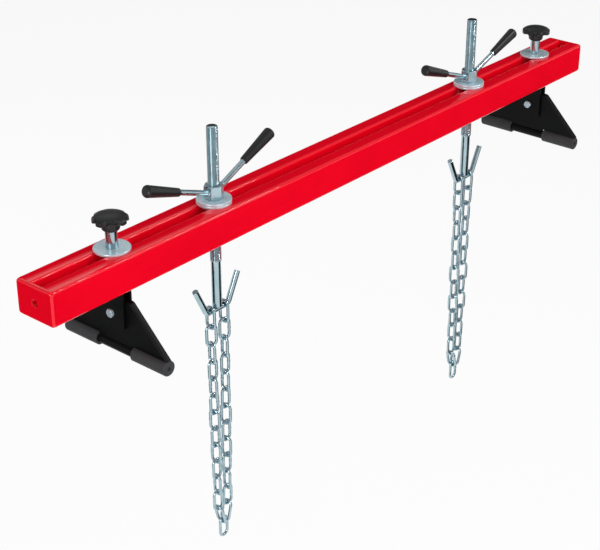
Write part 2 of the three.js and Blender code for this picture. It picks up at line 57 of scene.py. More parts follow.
def add_node(tree, kind, inputs=None, **settings):
    """Adds a node with its settings, and fills its inputs with values, sockets or nodes' first outputs."""
    node = tree.nodes.new(kind)
    for name, value in settings.items():
        setattr(node, name, value)
    for name, value in (inputs or {}).items():
        if isinstance(value, bpy.types.Node):
            value = value.outputs[0]
        if isinstance(value, bpy.types.NodeSocket):
            tree.links.new(value, node.inputs[name])
        else:
            node.inputs[name].default_value = value
    return node


scene = bpy.context.scene
scene.view_settings.view_transform = "Standard"

camera = bpy.data.objects.new("camera", bpy.data.cameras.new("camera"))
camera.location = (-1.9412, -1.5330, 1.1891)
camera.rotation_euler = Euler([math.radians(a) for a in (62.579, 0.0, -49.597)])
camera.data.lens = 87.288
camera.data.sensor_width = 36
scene.collection.objects.link(camera)
scene.camera = camera

FLOOR_HEIGHT, FLOOR_HALF = -0.9, 14
floor_mesh = bpy.data.meshes.new("studio_floor")
floor_mesh.from_pydata(
    [(x * FLOOR_HALF, y * FLOOR_HALF, FLOOR_HEIGHT) for x, y in ((-1, -1), (1, -1), (1, 1), (-1, 1))],
    [], [(0, 1, 2, 3)],
)
floor = bpy.data.objects.new("studio_floor", floor_mesh)
scene.collection.objects.link(floor)

# White floor paint: a matt floor that takes the shadow, mixed with plain white for the camera
# and for mirrored light, so that it reads as the white ground of a catalogue picture.
floor_paint = bpy.data.materials.new("white_studio_floor")
floor_paint.use_nodes = True
tree = floor_paint.node_tree
tree.nodes.clear()
path = add_node(tree, "ShaderNodeLightPath")
seen = add_node(tree, "ShaderNodeMath", {0: path.outputs["Is Camera Ray"], 1: path.outputs["Is Glossy Ray"]},
                operation="MAXIMUM")
share = add_node(tree, "ShaderNodeMath", {0: seen, 1: 0.9}, operation="MULTIPLY")
matt = add_node(tree, "ShaderNodeBsdfDiffuse", {"Color": linear("#f2f2f2")})
glow = add_node(tree, "ShaderNodeEmission", {"Color": (1, 1, 1, 1), "Strength": 1.0})
mixed = add_node(tree, "ShaderNodeMixShader", {0: share, 1: matt, 2: glow})
add_node(tree, "ShaderNodeOutputMaterial", {"Surface": mixed})
floor_mesh.materials.append(floor_paint)

# White backdrop: bright at the horizon and darker overhead, so that polished metal and gloss
# paint show a clear step between the two.
world = bpy.data.worlds.new("white_backdrop")
world.use_nodes = True
scene.world = world
tree = world.node_tree
tree.nodes.clear()
path = add_node(tree, "ShaderNodeLightPath")
seen = add_node(tree, "ShaderNodeMath", {0: path.outputs["Is Camera Ray"], 1: path.outputs["Is Glossy Ray"]},
                operation="MAXIMUM")
seen = add_node(tree, "ShaderNodeMath", {0: seen, 1: path.outputs["Is Transmission Ray"]},
                operation="MAXIMUM")
direction = add_node(tree, "ShaderNodeTexCoord")
height = add_node(tree, "ShaderNodeSeparateXYZ", {0: direction.outputs["Generated"]})
sky = add_node(tree, "ShaderNodeMapRange", {
    "Value": height.outputs["Z"], "From Min": 0.0, "From Max": 0.35, "To Min": 0.95, "To Max": 0.3})
level = add_node(tree, "ShaderNodeMix", {0: seen, 2: 0.36, 3: sky}, data_type="FLOAT")
backdrop = add_node(tree, "ShaderNodeBackground", {"Color": (1, 1, 1, 1), "Strength": level})
add_node(tree, "ShaderNodeOutputWorld", {"Surface": backdrop})

# The front and back softboxes aren't mirrored, so the gloss paint keeps its red on both sides.
for name, place, target, width, height, power in [
    ("overhead_softbox", (-0.5, 0.2, 2.6), (0, 0, 0.1), 1.8, 1.8, 4),
    ("front_softbox", (-0.5, -3.0, 1.4), (0.1, 0, 0.0), 3.2, 1.8, 60),
    ("left_softbox", (-3.2, -0.5, 0.7), (-0.75, 0, 0.15), 1.2, 1.2, 32),
    ("back_softbox", (-0.2, 3.1, 1.2), (0, 0, 0.1), 1.4, 1.0, 24),
    ("far_softbox", (1.3, 2.7, 2.9), (-0.4, 0, 0.15), 2.6, 1.6, 9),
    ("strip_softbox", (1.15, -1.6, 1.9), (-0.4, 0, 0.15), 1.4, 0.12, 20),
]:
    lamp = bpy.data.objects.new(name, bpy.data.lights.new(name, "AREA"))
    lamp.data.shape = "RECTANGLE"
    lamp.data.size = width
    lamp.data.size_y = height
    lamp.data.energy = power
    lamp.location = place
    lamp.rotation_euler = (Vector(target) - Vector(place)).to_track_quat("-Z", "Y").to_euler()
    lamp.visible_glossy = name not in ("front_softbox", "back_softbox")
    scene.collection.objects.link(lamp)

# Dark cards on the floor and behind the far end, which only metal and gloss paint mirror.
card_material = bpy.data.materials.new("dark_card")
card_material.use_nodes = True
card_material.node_tree.nodes["Principled BSDF"].inputs["Base Color"].default_value = linear("#101214")
card_material.node_tree.nodes["Principled BSDF"].inputs["Roughness"].default_value = 1
for name, corners in [
    ("front_dark_card", [(0.0, -2.8, -0.85), (3.8, -2.8, -0.85), (3.8, -0.5, -0.85), (0.0, -0.5, -0.85)]),
    ("left_dark_card", [(-4.0, 0.2, -0.85), (-1.1, 0.2, -0.85), (-1.1, 2.8, -0.85), (-4.0, 2.8, -0.85)]),
    ("back_dark_card", [(0.6, 3.1, 0.5), (4.6, 1.3, 0.5), (4.6, 1.3, 1.95), (0.6, 3.1, 1.95)]),
]:
    mesh = bpy.data.meshes.new(name)
    mesh.from_pydata(corners, [], [(0, 1, 2, 3)])
    mesh.materials.append(card_material)
    card = bpy.data.objects.new(name, mesh)
    card.visible_camera = False
    card.visible_diffuse = False
    card.visible_shadow = False
    scene.collection.objects.link(card)


# Beam tubes. Two rectangular steel tubes lie side by side with a slot between them, and
# the whole beam is powder coated in gloss red after it is welded.
def new_material(name, **values):
    """A material with its shader's values set, and the socket of the place on the piece."""
    material = bpy.data.materials.new(name)
    material.use_nodes = True
    tree = material.node_tree
    shader = tree.nodes["Principled BSDF"]
    for key, value in values.items():
        label = key.replace("_", " ").title().replace("Ior", "IOR")
        shader.inputs[label].default_value = value
    place = add_node(tree, "ShaderNodeTexCoord").outputs["Object"]
    return material, tree, shader, place


def grain(tree, shader, place, scale, detail, strength, depth):
    """Gives a finish its fine relief, a noise of one scale raised by a depth in metres."""
    noise = add_node(tree, "ShaderNodeTexNoise", {"Vector": place, "Scale": scale, "Detail": detail})
    relief = add_node(tree, "ShaderNodeBump", {"Height": noise, "Strength": strength, "Distance": depth})
    tree.links.new(relief.outputs[0], shader.inputs["Normal"])
    return relief


def clouded(tree, shader, place, scale, detail, colour_low, colour_high):
    """Lets the colour drift between two over patches of one scale, and returns the patches."""
    patches = add_node(tree, "ShaderNodeTexNoise", {"Vector": place, "Scale": scale, "Detail": detail})
    colour = add_node(tree, "ShaderNodeMix", {
        0: patches, 6: linear(colour_low), 7: linear(colour_high)}, data_type="RGBA")
    tree.links.new(colour.outputs[2], shader.inputs["Base Color"])
    return patches


def baked(piece, kind, **settings):
    """Gives the piece the mesh that a modifier makes of it."""
    modifier = piece.modifiers.new(kind.lower(), kind)
    for name, value in settings.items():
        setattr(modifier, name, value)
    graph = bpy.context.evaluated_depsgraph_get()
    mesh = bpy.data.meshes.new_from_object(piece.evaluated_get(graph))
    piece.modifiers.remove(modifier)
    mesh.name = piece.name
    piece.data = mesh
    return piece


def finished(piece, material, smooth_degrees=35, move=None):
    """Merges, moves and smooths a mesh where its faces meet at less than the angle."""
    mesh = piece.data
    work = bmesh.new()
    work.from_mesh(mesh)
    bmesh.ops.remove_doubles(work, verts=work.verts, dist=1e-7)
    bmesh.ops.recalc_face_normals(work, faces=work.faces)
    if move is not None:
        bmesh.ops.transform(work, matrix=move, verts=work.verts)
    work.to_mesh(mesh)
    work.free()
    mesh.materials.clear()
    mesh.materials.append(material)
    mesh.polygons.foreach_set("material_index", [0] * len(mesh.polygons))
    mesh.polygons.foreach_set("use_smooth", [True] * len(mesh.polygons))
    mesh.set_sharp_from_angle(angle=math.radians(smooth_degrees))
    return baked(piece, "WEIGHTED_NORMAL", mode="FACE_AREA", keep_sharp=True)


def object_from(name, points, faces, material, smooth_degrees=35):
    """A finished mesh object made of points and faces."""
    mesh = bpy.data.meshes.new(name)
    mesh.from_pydata(points, [], faces)
    mesh.validate()
    piece = bpy.data.objects.new(name, mesh)
    scene.collection.objects.link(piece)
    return finished(piece, material, smooth_degrees)


def seat(piece, body, slot, *nodes):
    """Lets a finished piece ride on its body and stand for its nodes."""
    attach(piece, body)
    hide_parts(*nodes)


def rounded_loop(width, height, radius, steps):
    """Points of a rounded rectangle round the origin, anticlockwise."""
    loop = []
    for quarter, (sx, sy) in enumerate([(1, 1), (-1, 1), (-1, -1), (1, -1)]):
        for step in range(steps + 1):
            angle = (quarter + step / steps) * math.pi / 2
            loop.append((sx * (width / 2 - radius) + radius * math.cos(angle),
                         sy * (height / 2 - radius) + radius * math.sin(angle)))
    return loop


def crowned(loop, width, height, crown):
    """Puts points along a loop's flat sides, and makes each side stand proud in its middle."""
    dense = []
    for (y, z), (next_y, next_z) in zip(loop, loop[1:] + loop[:1]):
        rows = 8 if math.hypot(next_y - y, next_z - z) > 5 * MM else 1
        dense += [(y + (next_y - y) * i / rows, z + (next_z - z) * i / rows) for i in range(rows)]
    return [(y - math.copysign(crown, y) * (2 * z / height) ** 2 * (abs(y) > width * 0.3),
             z - math.copysign(crown, z) * (2 * y / width) ** 2 * (abs(z) > height * 0.3)) for y, z in dense]


def bridge(points, faces, loops, close=True):
    """Joins a row of loops of equal length with quads; close joins the last to the first."""
    size = len(loops[0])
    start = len(points)
    for loop in loops:
        points.extend(loop)
    rows = len(loops) if close else len(loops) - 1
    for row in range(rows):
        here = start + row * size
        there = start + (row + 1) % len(loops) * size
        for i in range(size):
            j = (i + 1) % size
            faces.append((here + i, here + j, there + j, there + i))


# Gloss powder coat: a deep, even red under a clear skin that mirrors the studio in long
# streaks, broken only by a faint orange peel a few millimetres across.
gloss_red, tree, shader, place = new_material(
    "gloss_red_powder_coat", roughness=0.6, specular_ior_level=0.0, coat_weight=1.0, coat_roughness=0.03)
clouded(tree, shader, place, 9.0, 2.0, "#db021c", "#ee0421")
peel = grain(tree, shader, place, 260.0, 3.0, 0.04, 0.4 * MM)
tree.links.new(peel.outputs[0], shader.inputs["Coat Normal"])

TUBE_WIDTH, TUBE_HEIGHT, TUBE_WALL, TUBE_CORNER, TUBE_CROWN = 30 * MM, 60 * MM, 2 * MM, 4 * MM, 0.35 * MM
for node in ("front_beam_tube", "back_beam_tube"):
    low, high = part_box(node)
    middle_y, middle_z = (low[1] + high[1]) / 2, (low[2] + high[2]) / 2
    outer = rounded_loop(TUBE_WIDTH, TUBE_HEIGHT, TUBE_CORNER, 8)
    inner = rounded_loop(TUBE_WIDTH - 2 * TUBE_WALL, TUBE_HEIGHT - 2 * TUBE_WALL, TUBE_CORNER - TUBE_WALL, 8)
    outer, inner = (crowned(loop, TUBE_WIDTH, TUBE_HEIGHT, TUBE_CROWN) for loop in (outer, inner))
    points, faces = [], []
    bridge(points, faces, [
        [(x, middle_y + y, middle_z + z) for y, z in loop]
        for x, loop in ((low[0], outer), (high[0], outer), (high[0], inner), (low[0], inner))
    ])
    tube = object_from(node + "_painted", points, faces, gloss_red, 50)
    seat(tube, "beam", "red_paint", node)


# End plates. A steel plate with a softened edge is welded over both tubes at each end of
# the beam, and has one round hole in its middle.
END_CORNER, END_EDGE = 6 * MM, 4 * MM
HOLE_RADIUS, HOLE_EDGE = 6 * MM, 0.8 * MM


def ray_to_rounded(angle, width, height, radius):
    """The point where a ray from the centre leaves a rounded rectangle."""
    dx, dy = math.cos(angle), math.sin(angle)
    reach = min(width / 2 / max(abs(dx), 1e-9), height / 2 / max(abs(dy), 1e-9))
    x, y = dx * reach, dy * reach
    cx, cy = width / 2 - radius, height / 2 - radius
    if abs(x) > cx and abs(y) > cy:
        along = cx * abs(dx) + cy * abs(dy)
        across = cx * cx + cy * cy - radius * radius
        reach = along + math.sqrt(max(along * along - across, 0))
        x, y = dx * reach, dy * reach
    return x, y


def rounding(steps):
    """How far each point of a rounded edge stands in from its two faces, for a radius of 1."""
    turns = [step / steps * math.pi / 2 for step in range(steps + 1)]
    return [(1 - math.sin(turn), 1 - math.cos(turn)) for turn in turns]


for node, side in (("left_end_plate", -1), ("right_end_plate", 1)):
    low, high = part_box(node)
    width, height = high[1] - low[1], high[2] - low[2]
    middle_z = (low[2] + high[2]) / 2
    face_x, back_x = (low[0], high[0]) if side < 0 else (high[0], low[0])
    angles = [i * math.tau / 144 for i in range(144)]
    stack = [(HOLE_RADIUS, back_x), (HOLE_RADIUS, face_x - side * HOLE_EDGE),
             (HOLE_RADIUS + HOLE_EDGE, face_x)]
    loops = [[(x, r * math.cos(a), middle_z + r * math.sin(a)) for a in angles] for r, x in stack]
    for aside, back in rounding(6):
        inset = END_EDGE * aside
        x = face_x - side * END_EDGE * back
        loops.append([
            (x, y, middle_z + z) for y, z in
            (ray_to_rounded(a, width - 2 * inset, height - 2 * inset, END_CORNER - inset) for a in angles)
        ])
    loops.append([
        (back_x, y, middle_z + z) for y, z in
        (ray_to_rounded(a, width, height, END_CORNER) for a in angles)
    ])
    points, faces = [], []
    bridge(points, faces, loops)
    plate = object_from(node + "_painted", points, faces, gloss_red, 50)
    seat(plate, "beam", "red_paint", node)


# Star knobs. Each is moulded in black plastic: a shallow dome whose rim is scalloped into
# eight lobes, over a round hub with a rolled lower edge, on the stud and its sleeve.
def turned(name, profile, centre, material, steps=64, smooth_degrees=35, axis=Vector((0, 0, 1))):
    """Turns a closed profile of (radius, height) points round an axis through the centre."""
    frame_turn = axis.to_track_quat("Z", "Y")
    loops = []
    for radius, height in profile:
        loops.append([
            Vector(centre) + frame_turn @ Vector((
                radius * math.cos(i * math.tau / steps), radius * math.sin(i * math.tau / steps), height))
            for i in range(steps)
        ])
    points, faces = [], []
    bridge(points, faces, loops, close=profile[0][0] > 0)
    return object_from(name, points, faces, material, smooth_degrees)


# Moulded black plastic: nearly black, with broad soft highlights that a fine mould grain dulls.
satin_plastic, tree, shader, place = new_material(
    "satin_black_moulded_plastic", base_color=linear("#0e0f11"), roughness=0.36, ior=1.49)
grain(tree, shader, place, 1800.0, 2.0, 0.12, 0.2 * MM)
worn = add_node(tree, "ShaderNodeTexNoise", {"Vector": place, "Scale": 60.0, "Detail": 3.0})
satin = add_node(tree, "ShaderNodeMapRange", {"Value": worn, "To Min": 0.34, "To Max": 0.50})
tree.links.new(satin.outputs[0], shader.inputs["Roughness"])

KNOB_RADIUS, KNOB_HEIGHT, HUB_RADIUS, HUB_ROUNDING = 29 * MM, 29 * MM, 14.8 * MM, 5 * MM
HUB_HEIGHT, RIM_TOP, LOWER_EDGE = 14.5 * MM, 19.5 * MM, 2 * MM
STUD_BORE, BORE_DEPTH = 6.3 * MM, 20.3 * MM
LOBES, FLUTE_RADIUS, FLUTE_DEPTH, FLUTE_SOFTNESS = 8, 6 * MM, 5 * MM, 2.4 * MM
KNOB_TURN = math.radians(7.6)


def fluted(radius, angle, inset=0.0):
    """A ring's radius once the flute nearest to the angle has cut into it, with a soft edge."""
    pitch = math.tau / LOBES
    off = (angle - KNOB_TURN) % pitch - pitch / 2
    centre = KNOB_RADIUS + FLUTE_RADIUS - FLUTE_DEPTH
    across = centre * math.sin(off) / (FLUTE_RADIUS + inset)
    if abs(across) >= 1:
        return radius
    cut = centre * math.cos(off) - (FLUTE_RADIUS + inset) * math.sqrt(1 - across * across)
    blend = max(FLUTE_SOFTNESS - abs(radius - cut), 0) / FLUTE_SOFTNESS
    return min(radius, cut) - blend * blend * FLUTE_SOFTNESS / 4


angles = [i * math.tau / 240 for i in range(240)]
rings = [(0, BORE_DEPTH, False), (STUD_BORE, BORE_DEPTH, False), (STUD_BORE, 0, False)]
rings += [(HUB_RADIUS - HUB_ROUNDING * aside, HUB_ROUNDING * up, False) for aside, up in rounding(8)]
rings += [(HUB_RADIUS, HUB_HEIGHT - 1.2 * MM, False), (HUB_RADIUS + 0.4 * MM, HUB_HEIGHT - 0.4 * MM, False),
          (HUB_RADIUS + 1.2 * MM, HUB_HEIGHT, False)]
rings += [(KNOB_RADIUS - LOWER_EDGE * aside, HUB_HEIGHT + LOWER_EDGE * up, True) for aside, up in rounding(5)]
for step in range(31):
    turn = step / 30 * math.pi / 2
    radius = KNOB_RADIUS * math.cos(turn) if step < 30 else 0
    rings.append((radius, RIM_TOP + (KNOB_HEIGHT - RIM_TOP) * math.sin(turn), True))
for side in ("left", "right"):
    low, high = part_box(f"{side}_star_knob")
    centre_x, bottom = (low[0] + high[0]) / 2, low[2]
    loops = []
    for radius, height, scalloped in rings:
        inset = max(HUB_HEIGHT + LOWER_EDGE - height, 0) if scalloped else 0
        reach = [fluted(radius, a, inset) if scalloped else radius for a in angles]
        loops.append([
            (centre_x + r * math.cos(a), r * math.sin(a), bottom + height) for r, a in zip(reach, angles)])
    points, faces = [], []
    bridge(points, faces, loops, close=False)
    knob = object_from(f"{side}_moulded_knob", points, faces, satin_plastic, 50)
    seat(knob, f"{side}_knob", "black_plastic", f"{side}_star_knob")


# Threaded bars. The spindle is a zinc-plated M20 bar whose rolled thread runs down to a
# plain shank; the knob's stud is M12. The thread is a real helix.
def zinc(name, colour_low, colour_high, rough_low, rough_high, cloud_scale, metallic=1.0):
    """Zinc plate on steel: cloudy, slightly blue, with a gloss that varies as the clouds do."""
    material, tree, shader, place = new_material(name, metallic=metallic)
    cloud = clouded(tree, shader, place, cloud_scale, 4.0, colour_low, colour_high)
    rough = add_node(tree, "ShaderNodeMapRange", {
        "Value": cloud, "From Min": 0.3, "From Max": 0.7, "To Min": rough_low, "To Max": rough_high})
    tree.links.new(rough.outputs[0], shader.inputs["Roughness"])
    grain(tree, shader, place, 900.0, 2.0, 0.06, 0.2 * MM)
    return material


# Bright zinc plate: a blue-grey mirror, dull enough that each bar shows dark and light bands.
bright_zinc = zinc("bright_zinc_plate", "#93adb6", "#c6dae0", 0.11, 0.22, 70.0)


def new_group(name, sizes, counts=(), on_mesh=False):
    """A node group that is given sizes, counts, a finish and perhaps a mesh, and those values."""
    group = bpy.data.node_groups.new(name, "GeometryNodeTree")
    if on_mesh:
        group.interface.new_socket("Geometry", in_out="INPUT", socket_type="NodeSocketGeometry")
    for kind, values in (("NodeSocketFloat", sizes), ("NodeSocketInt", counts)):
        for label, value in values:
            group.interface.new_socket(label, in_out="INPUT", socket_type=kind).default_value = value
    group.interface.new_socket("Finish", in_out="INPUT", socket_type="NodeSocketMaterial")
    group.interface.new_socket("Geometry", in_out="OUTPUT", socket_type="NodeSocketGeometry")
    return group, add_node(group, "NodeGroupInput").outputs


def work_out(group, value, steps):
    """Adds a math node for each step: its result's name, its operation, and numbers or names."""
    for result, operation, *terms in steps:
        inputs = {index: value.get(term, term) for index, term in enumerate(terms)}
        value[result] = add_node(group, "ShaderNodeMath", inputs, operation=operation)


def thread_tree():
    """A node group: a grid rolled into a threaded bar, its two end rows drawn in to the axis."""
    sizes = [("Diameter", 20 * MM), ("Pitch", 2.5 * MM), ("Bottom", 0.0), ("Top", 0.2), ("Depth", 1.4 * MM),
             ("Chamfer", 1.5 * MM)]
    group, given = new_group("rolled_thread", sizes, [("Around", 48), ("Rows", 800)])
    grid = add_node(group, "GeometryNodeMeshGrid", {
        "Size X": 1.0, "Size Y": 1.0, "Vertices X": given["Around"], "Vertices Y": given["Rows"]})
    place = add_node(group, "GeometryNodeInputPosition")
    parts = add_node(group, "ShaderNodeSeparateXYZ", {0: place}).outputs
    value = {label: given[label] for label, size in sizes} | {"grid x": parts["X"], "grid y": parts["Y"]}
    work_out(group, value, (
        ("around", "ADD", "grid x", 0.5),
        ("along", "ADD", "grid y", 0.5),
        ("length", "SUBTRACT", "Top", "Bottom"),
        ("height", "MULTIPLY_ADD", "along", "length", "Bottom"),
        ("pitches", "DIVIDE", "height", "Pitch"),
        ("turns", "SUBTRACT", "pitches", "around"),
        ("zigzag", "PINGPONG", "turns", 0.5),
        ("flank", "MULTIPLY", "zigzag", 2.5),
        ("crest", "SMOOTH_MIN", "flank", 1.0, 0.12),
        ("groove", "SUBTRACT", 1.0, "crest"),
        ("full cut", "MULTIPLY", "groove", "Depth"),
        ("from bottom", "SUBTRACT", "height", "Bottom"),
        ("two pitches", "MULTIPLY", "Pitch", 2.0),
        ("run in", "DIVIDE", "from bottom", "two pitches"),
        ("run out", "MINIMUM", "run in", 1.0),
        ("cut", "MULTIPLY", "full cut", "run out"),
        ("outside", "DIVIDE", "Diameter", 2.0),
        ("thread", "SUBTRACT", "outside", "cut"),
        ("from top", "SUBTRACT", "Top", "height"),
        ("tip", "SUBTRACT", "outside", "Chamfer"),
        ("cone", "ADD", "tip", "from top"),
        ("pointed", "MINIMUM", "thread", "cone"),
        ("above first row", "GREATER_THAN", "along", 0.00001),
        ("below last row", "LESS_THAN", "along", 0.99999),
        ("inner row", "MULTIPLY", "above first row", "below last row"),
        ("radius", "MULTIPLY", "pointed", "inner row"),
        ("angle", "MULTIPLY", "around", math.tau),
        ("cosine", "COSINE", "angle"),
        ("sine", "SINE", "angle"),
        ("x", "MULTIPLY", "radius", "cosine"),
        ("y", "MULTIPLY", "radius", "sine"),
    ))
    rolled = add_node(group, "ShaderNodeCombineXYZ", {0: value["x"], 1: value["y"], 2: value["height"]})
    bar = add_node(group, "GeometryNodeSetPosition", {"Geometry": grid, "Position": rolled})
    closed = add_node(group, "GeometryNodeMergeByDistance", {"Geometry": bar, "Distance": 1e-6})
    real = add_node(group, "GeometryNodeRealizeInstances", {"Geometry": closed})
    dressed = add_node(group, "GeometryNodeSetMaterial", {"Geometry": real, "Material": given["Finish"]})
    add_node(group, "NodeGroupOutput", {"Geometry": dressed})
    return group


def grown(name, group, values, start=None):
    """Runs a node group on a start mesh with named values, and returns the plain mesh object."""
    seed = bpy.data.objects.new(name, start or bpy.data.meshes.new(name))
    scene.collection.objects.link(seed)
    modifier = seed.modifiers.new("growth", "NODES")
    modifier.node_group = group
    for item in group.interface.items_tree:
        if item.in_out == "INPUT" and item.name in values:
            modifier[item.identifier] = values[item.name]
    graph = bpy.context.evaluated_depsgraph_get()
    mesh = bpy.data.meshes.new_from_object(seed.evaluated_get(graph))
    seed.modifiers.remove(modifier)
    seed.data = mesh
    mesh.name = name
    return seed


rolled_thread = thread_tree()
THREAD_END, SHANK_RADIUS = 77 * MM, 8.75 * MM
SPINDLE_PITCH, STUD_PITCH = 2.5 * MM, 1.75 * MM
for side in ("left", "right"):
    low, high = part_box(f"{side}_spindle")
    centre_x = (low[0] + high[0]) / 2
    turns = (high[2] - THREAD_END) / SPINDLE_PITCH
    thread = grown(f"{side}_threaded_spindle", rolled_thread, {
        "Diameter": 20 * MM, "Pitch": SPINDLE_PITCH, "Bottom": THREAD_END, "Top": high[2], "Depth": 1.35 * MM,
        "Chamfer": 1.5 * MM, "Around": 49, "Rows": int(turns * 8), "Finish": bright_zinc})
    finished(thread, bright_zinc, 70, Matrix.Translation((centre_x, 0, 0)))
    seat(thread, f"{side}_lift", "zinc_plate", f"{side}_spindle")
    shank = turned(f"{side}_plain_shank", [
        (0, low[2]), (SHANK_RADIUS, low[2]), (SHANK_RADIUS, THREAD_END - 0.5 * MM),
        (9.6 * MM, THREAD_END + 1 * MM), (0, THREAD_END + 1 * MM)], (centre_x, 0, 0), bright_zinc)
    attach(shank, f"{side}_lift")

    low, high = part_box(f"{side}_clamp_stud")
    centre_x = (low[0] + high[0]) / 2
    stud = grown(f"{side}_threaded_stud", rolled_thread, {
        "Diameter": 12 * MM, "Pitch": STUD_PITCH, "Bottom": low[2], "Top": high[2], "Depth": 0.9 * MM,
        "Chamfer": 0.8 * MM, "Around": 33, "Rows": int((high[2] - low[2]) / STUD_PITCH * 6),
        "Finish": bright_zinc})
    finished(stud, bright_zinc, 70, Matrix.Translation((centre_x, 0, 0)))
    seat(stud, f"{side}_stud", "zinc_plate", f"{side}_clamp_stud")


# Washers and spacer sleeves. Large stamped washers, one under each knob and two under
# each handle nut, and a cut tube round each stud; all bright zinc.
# Satin zinc: the tumbled face of stamped parts, pale and blue and half matt, from any side.
washer_zinc = zinc("satin_zinc_washer", "#c8e4f0", "#e2f2f8", 0.20, 0.32, 25.0, metallic=0.55)
WASHER_RADIUS, STAMPED_EDGE, LOWER_CORNER = 30 * MM, 0.9 * MM, 0.5 * MM
THREAD_BORE = 10.3 * MM
for node, body, bore in (
    [(f"{side}_foot_washer", f"{side}_foot_carriage", STUD_BORE) for side in ("left", "right")]
    + [(f"{side}_{level}_washer", f"{side}_hook_carriage", THREAD_BORE)
       for side in ("left", "right") for level in ("lower", "upper")]
):
    low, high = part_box(node)
    bottom, top = low[2], high[2]
    profile = [(bore, bottom)]
    profile += [(WASHER_RADIUS - LOWER_CORNER * aside, bottom + LOWER_CORNER * up)
                for aside, up in rounding(3)]
    profile += [(WASHER_RADIUS - STAMPED_EDGE * aside, top - STAMPED_EDGE * down)
                for down, aside in rounding(5)]
    profile += [(bore + 0.4 * MM, top), (bore, top - 0.4 * MM)]
    washer = turned(node + "_stamped", profile, ((low[0] + high[0]) / 2, 0, 0), washer_zinc, 96, 50)
    seat(washer, body, "zinc_plate", node)

for side in ("left", "right"):
    low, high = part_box(f"{side}_spacer_sleeve")
    bottom, top, radius = low[2], high[2], 10 * MM
    sleeve = turned(f"{side}_cut_sleeve", [
        (STUD_BORE, bottom), (radius - 0.4 * MM, bottom), (radius, bottom + 0.4 * MM),
        (radius, top - 0.4 * MM), (radius - 0.4 * MM, top), (STUD_BORE, top)],
        ((low[0] + high[0]) / 2, 0, 0), bright_zinc)
    seat(sleeve, f"{side}_foot_carriage", "zinc_plate", f"{side}_spacer_sleeve")


# Nuts and bolts. The handle nut is a tall chamfered hexagon; the guide nut sits in the
# slot, and an M8 bolt with its nut is each foot's pivot.
def hexagon_piece(name, width, bottom, top, chamfer, bore, place, material, flats_turn=0.0):
    """A chamfered hexagon with a round bore, or solid where the bore is 0, along its own Z."""
    half, steps = width / 2, 96
    peak, tip = half / math.cos(math.pi / 6), half * 0.97
    angles = [i * math.tau / steps for i in range(steps)]
    flats = [half / math.cos((a - flats_turn + math.pi / 6) % (math.pi / 3) - math.pi / 6) for a in angles]

    def ring(height, radii):
        """Points round the axis at one height."""
        return [place @ Vector((r * math.cos(a), r * math.sin(a), height)) for r, a in zip(radii, angles)]

    mouth = 0.8 * MM if bore else 0
    shares = (0.0, 0.25, 0.5, 0.75, 1.0)
    rows = [(bottom, chamfer, share) for share in shares] + [(top, -chamfer, share) for share in shares[::-1]]
    loops = [ring(face + cut * share, [min(flat, tip + (peak - tip) * share) for flat in flats])
             for face, cut, share in rows]
    if bore:
        loops = [ring(bottom, [bore + mouth] * steps)] + loops + [ring(top, [bore + mouth] * steps)]
    loops = [ring(bottom + mouth, [bore] * steps)] + loops + [ring(top - mouth, [bore] * steps)]
    points, faces = [], []
    bridge(points, faces, loops, close=bore > 0)
    return object_from(name, points, faces, material, 25)


# Zinc on turned steel: duller than the bars, so that each flat of a nut has one even tone.
nut_zinc = zinc("zinc_on_turned_steel", "#a4bec8", "#c6dbe2", 0.20, 0.34, 90.0)
TALL_NUT_WIDTH, GUIDE_NUT_WIDTH = 30 * MM, 19 * MM
BOLT_WIDTH, BOLT_RADIUS, BOLT_BORE, HEAD_HEIGHT = 13 * MM, 4 * MM, 4.3 * MM, 5.3 * MM
along_x = Matrix.Rotation(math.pi / 2, 4, "Y")
for side in ("left", "right"):
    low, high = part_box(f"{side}_handle_nut")
    centre = Matrix.Translation(((low[0] + high[0]) / 2, 0, 0))
    nut = hexagon_piece(
        f"{side}_tall_nut", TALL_NUT_WIDTH, low[2], high[2], 2 * MM, THREAD_BORE, centre, nut_zinc)
    seat(nut, f"{side}_nut", "zinc_plate", f"{side}_handle_nut")

    low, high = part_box(f"{side}_guide_nut")
    centre = Matrix.Translation(((low[0] + high[0]) / 2, 0, 0))
    guide = hexagon_piece(
        f"{side}_slot_nut", GUIDE_NUT_WIDTH, low[2], high[2], 1 * MM, STUD_BORE, centre, nut_zinc,
        flats_turn=math.pi / 2)
    seat(guide, f"{side}_foot_carriage", "zinc_plate", f"{side}_guide_nut")

    low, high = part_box(f"{side}_pivot_nut")
    place = Matrix.Translation((0, 0, (low[2] + high[2]) / 2)) @ along_x
    nut = hexagon_piece(
        f"{side}_bolt_nut", BOLT_WIDTH, low[0], high[0], 0.9 * MM, BOLT_BORE, place, nut_zinc)
    seat(nut, f"{side}_foot_carriage", "zinc_plate", f"{side}_pivot_nut")

    low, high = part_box(f"{side}_pivot_bolt")
    pivot_height = (low[2] + high[2]) / 2
    place = Matrix.Translation((0, 0, pivot_height)) @ along_x
    head = hexagon_piece(
        f"{side}_bolt_head", BOLT_WIDTH, low[0], low[0] + HEAD_HEIGHT, 0.8 * MM, 0, place, washer_zinc)
    seat(head, f"{side}_foot_carriage", "zinc_plate", f"{side}_pivot_bolt")
    shank = turned(f"{side}_bolt_shank", [
        (0, low[0] + 3 * MM), (BOLT_RADIUS, low[0] + 3 * MM), (BOLT_RADIUS, high[0] - 0.8 * MM),
        (3.2 * MM, high[0]), (0, high[0])], (0, 0, pivot_height), bright_zinc, 32, axis=Vector((1, 0, 0)))
    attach(shank, f"{side}_foot_carriage")


